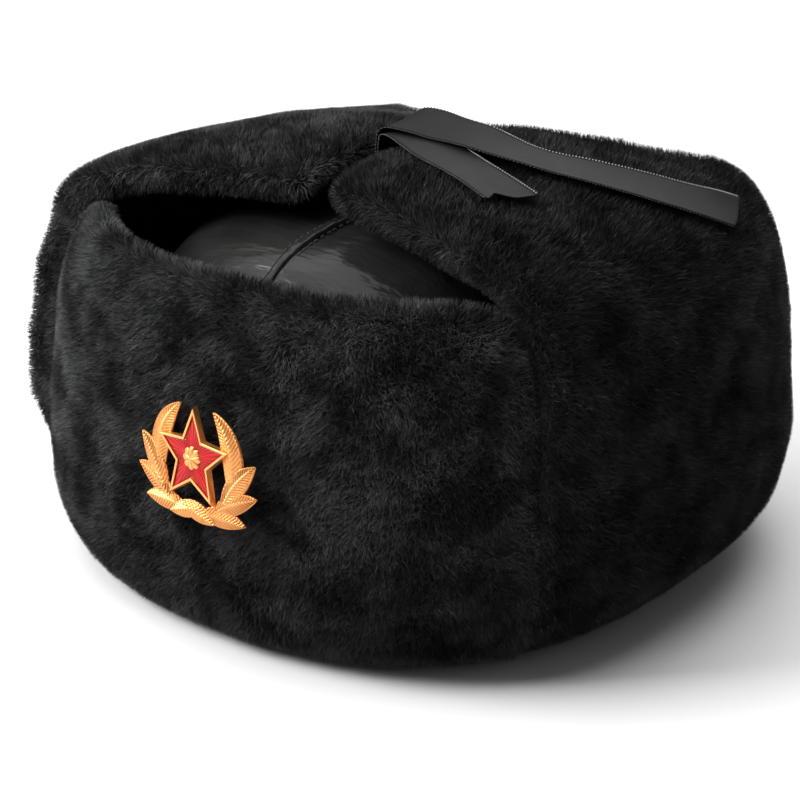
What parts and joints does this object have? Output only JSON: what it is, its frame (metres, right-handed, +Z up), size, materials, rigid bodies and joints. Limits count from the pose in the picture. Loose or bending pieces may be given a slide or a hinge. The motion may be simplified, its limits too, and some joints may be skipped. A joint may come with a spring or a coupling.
{
  "type": "ushanka hat",
  "caption": "Black fur winter hat with a leather crown, its front flap turned up, its ear flaps tied over the crown with a ribbon, and a gilt wreath-and-star badge.",
  "frame": {"origin": "middle of the bounding box at the rim, which stands on the ground", "axes": "+Z up through the crown, -Y forwards through the badge, +X to the wearer's left"},
  "size_m": [0.268, 0.272, 0.1658],
  "materials": {
    "leather": "smooth black leather with a soft shine",
    "front_fur": "short dense black fur",
    "left_fur": "short dense black fur",
    "right_fur": "short dense black fur",
    "ribbon": "black satin with a fine picot edge",
    "ribbon_end": "black satin with a fine picot edge",
    "gilt": "bright gilt, cast with leaf veins",
    "enamel": "glossy translucent red enamel"
  },
  "bodies": {
    "root": {"crown": "leather", "front_flap": "front_fur", "ear_flap_left": "left_fur", "ear_flap_right": "right_fur", "tie_ribbon_long": "ribbon", "tie_ribbon_short": "ribbon_end", "badge": "gilt", "badge_enamel": "enamel"}
  },
  "joints": []
}
